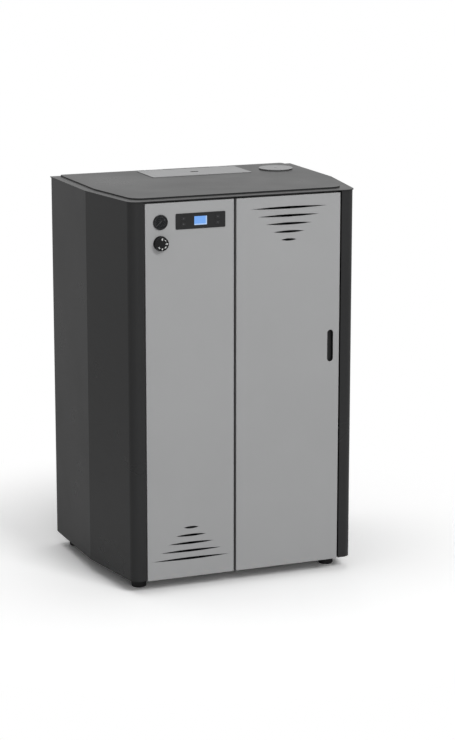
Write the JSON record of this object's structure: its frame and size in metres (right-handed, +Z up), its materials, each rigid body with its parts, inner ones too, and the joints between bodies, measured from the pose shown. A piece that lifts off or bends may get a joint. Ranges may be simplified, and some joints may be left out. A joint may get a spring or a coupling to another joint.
{
  "type": "pellet boiler stove",
  "caption": "Tall floor-standing pellet boiler in a faceted sheet cabinet with two front panels, lens-shaped vents, a raised lid with a hopper hatch, and round levelling feet.",
  "frame": {"origin": "bottom centre on the floor, half way between the knob in front and the pipe ends behind", "axes": "+X right as seen from the front, +Y into the depth towards the back, +Z up; the doors face -Y"},
  "size_m": [0.878, 0.688, 1.2916],
  "materials": {
    "dark_paint": "satin",
    "panel_paint": "satin",
    "black_paint": "matte",
    "boiler_paint": "matte",
    "cast_iron": "rough cast",
    "lining": "matte",
    "rope": "braided",
    "steel": "brushed",
    "galvanised": "galvanised",
    "fan_metal": "cast",
    "copper": "satin",
    "pump_paint": "satin",
    "vessel_paint": "satin",
    "black_plastic": "matte",
    "knob_plastic": "fine matte",
    "key_plastic": "matte",
    "switch_plastic": "gloss",
    "needle_paint": "satin",
    "gauge_glass": "clear",
    "screen": "lit",
    "rubber": "matte"
  },
  "bodies": {
    "cabinet": {"base_frame": "black_paint", "front_frame": "black_paint", "side_panel_right": "dark_paint", "side_panel_left": "dark_paint", "rear_panel": "dark_paint", "top_frame": "dark_paint", "top_lid": "dark_paint", "front_panel": "panel_paint", "door_hinge_pins": "black_paint", "display_panel": "black_plastic", "display_screen": "screen", "gauge_case": "black_plastic", "gauge_glass": "gauge_glass", "thermostat_body": "black_plastic", "boiler_body": "boiler_paint", "ash_box": "boiler_paint", "smoke_box": "boiler_paint", "firebox_lining": "lining", "hopper": "galvanised", "hatch_hinge": "steel", "auger_tube": "galvanised", "auger_gearmotor": "black_paint", "pellet_chute": "galvanised", "fan_housing": "fan_metal", "fan_motor": "fan_metal", "flue_spigot": "galvanised", "air_intake": "galvanised", "flow_pipe": "copper", "return_pipe": "copper", "pump_pipe": "copper", "circulator_pump": "pump_paint", "expansion_vessel": "vessel_paint", "control_box": "black_plastic", "power_inlet": "black_plastic"},
    "door": {"front_door": "panel_paint", "door_pull_cup": "black_plastic"},
    "firebox_door": {"firebox_door": "cast_iron", "firebox_door_seal": "rope"},
    "firebox_door_handle": {"firebox_door_handle": "steel"},
    "ash_drawer": {"ash_drawer": "galvanised"},
    "burn_pot": {"burn_pot": "cast_iron"},
    "cleaning_lever": {"cleaning_lever": "steel"},
    "turbulators": {"turbulators": "steel"},
    "hatch": {"hopper_hatch": "panel_paint", "hatch_seal": "rubber"},
    "flue_cover": {"flue_cover": "panel_paint"},
    "clean_out_cover": {"exchanger_cover": "boiler_paint"},
    "knob": {"thermostat_knob": "knob_plastic"},
    "needle": {"gauge_needle": "needle_paint"},
    "key_upper_left": {"key_upper_left": "key_plastic"},
    "key_upper_right": {"key_upper_right": "key_plastic"},
    "key_lower_left": {"key_lower_left": "key_plastic"},
    "key_lower_right": {"key_lower_right": "key_plastic"},
    "foot_front_left": {"foot_front_left": "rubber"},
    "foot_front_right": {"foot_front_right": "rubber"},
    "foot_rear_left": {"foot_rear_left": "rubber"},
    "foot_rear_right": {"foot_rear_right": "rubber"},
    "auger_screw": {"auger_screw": "steel"},
    "fan_impeller": {"fan_impeller": "steel"},
    "power_switch": {"power_switch": "switch_plastic"}
  },
  "joints": [
    {"name": "front_door_hinge", "type": "hinge", "parent": "cabinet", "child": "door", "pos_m": [-0.024, -0.318, 0.65], "axis": [0, 0, -1], "range_deg": [0, 110]},
    {"name": "firebox_door_hinge", "type": "hinge", "parent": "cabinet", "child": "firebox_door", "pos_m": [0.026, -0.2763, 0.45], "axis": [0, 0, -1], "range_deg": [0, 95]},
    {"name": "firebox_handle_turn", "type": "hinge", "parent": "firebox_door", "child": "firebox_door_handle", "pos_m": [0.29, -0.28, 0.451], "axis": [0, 1, 0], "range_deg": [0, 90]},
    {"name": "ash_drawer_slide", "type": "slide", "parent": "cabinet", "child": "ash_drawer", "axis": [0, -1, 0], "range_m": [0, 0.24]},
    {"name": "burn_pot_lift", "type": "slide", "parent": "cabinet", "child": "burn_pot", "axis": [0, 0, 1], "range_m": [0, 0.06]},
    {"name": "cleaning_lever_turn", "type": "hinge", "parent": "cabinet", "child": "cleaning_lever", "pos_m": [0.062, -0.309, 1.112], "axis": [0, -1, 0], "range_deg": [0, 20]},
    {"name": "turbulator_lift", "type": "slide", "parent": "cabinet", "child": "turbulators", "axis": [0, 0, 1], "range_m": [0, 0.04]},
    {"name": "hatch_hinge_turn", "type": "hinge", "parent": "cabinet", "child": "hatch", "pos_m": [0.038, 0.2981, 1.2879], "axis": [-1, 0, 0], "range_deg": [0, 95]},
    {"name": "flue_cover_lift", "type": "slide", "parent": "cabinet", "child": "flue_cover", "axis": [0, 0, 1], "range_m": [0, 0.06]},
    {"name": "clean_out_cover_lift", "type": "slide", "parent": "cabinet", "child": "clean_out_cover", "axis": [0, 0, 1], "range_m": [0, 0.08]},
    {"name": "thermostat_turn", "type": "hinge", "parent": "cabinet", "child": "knob", "pos_m": [-0.287, -0.33, 1.147], "axis": [0, 1, 0], "range_deg": [0, 270]},
    {"name": "gauge_needle_turn", "type": "hinge", "parent": "cabinet", "child": "needle", "pos_m": [-0.287, -0.327, 1.214], "axis": [0, 1, 0], "range_deg": [0, 270], "stiffness_Nm_per_rad": 0.001},
    {"name": "key_upper_left_press", "type": "slide", "parent": "cabinet", "child": "key_upper_left", "axis": [0, 1, 0], "range_m": [0, 0.0008], "stiffness_N_per_m": 200},
    {"name": "key_upper_right_press", "type": "slide", "parent": "cabinet", "child": "key_upper_right", "axis": [0, 1, 0], "range_m": [0, 0.0008], "stiffness_N_per_m": 200},
    {"name": "key_lower_left_press", "type": "slide", "parent": "cabinet", "child": "key_lower_left", "axis": [0, 1, 0], "range_m": [0, 0.0008], "stiffness_N_per_m": 200},
    {"name": "key_lower_right_press", "type": "slide", "parent": "cabinet", "child": "key_lower_right", "axis": [0, 1, 0], "range_m": [0, 0.0008], "stiffness_N_per_m": 200},
    {"name": "foot_front_left_turn", "type": "hinge", "parent": "cabinet", "child": "foot_front_left", "pos_m": [-0.3355, -0.232, 0.03], "axis": [0, 0, 1], "continuous": true},
    {"name": "foot_front_right_turn", "type": "hinge", "parent": "cabinet", "child": "foot_front_right", "pos_m": [0.3355, -0.232, 0.03], "axis": [0, 0, 1], "continuous": true},
    {"name": "foot_rear_left_turn", "type": "hinge", "parent": "cabinet", "child": "foot_rear_left", "pos_m": [-0.37964, 0.28, 0.03], "axis": [0, 0, 1], "continuous": true},
    {"name": "foot_rear_right_turn", "type": "hinge", "parent": "cabinet", "child": "foot_rear_right", "pos_m": [0.37964, 0.28, 0.03], "axis": [0, 0, 1], "continuous": true},
    {"name": "auger_turn", "type": "hinge", "parent": "cabinet", "child": "auger_screw", "pos_m": [-0.21389, 0.215, 0.28026], "axis": [0.8192, 0, 0.5736], "continuous": true},
    {"name": "fan_turn", "type": "hinge", "parent": "cabinet", "child": "fan_impeller", "pos_m": [0.313, 0.19, 0.25], "axis": [1, 0, 0], "continuous": true},
    {"name": "power_switch_tip", "type": "hinge", "parent": "cabinet", "child": "power_switch", "pos_m": [-0.286, 0.3187, 0.12], "axis": [-1, 0, 0], "range_deg": [0, 16]}
  ],
  "couplings": [
    {"joint": "firebox_door_hinge", "follows": "front_door_hinge", "ratio": 0.86},
    {"joint": "ash_drawer_slide", "follows": "front_door_hinge", "m_per_rad": 0.124},
    {"joint": "turbulator_lift", "follows": "cleaning_lever_turn", "m_per_rad": 0.1145}
  ]
}
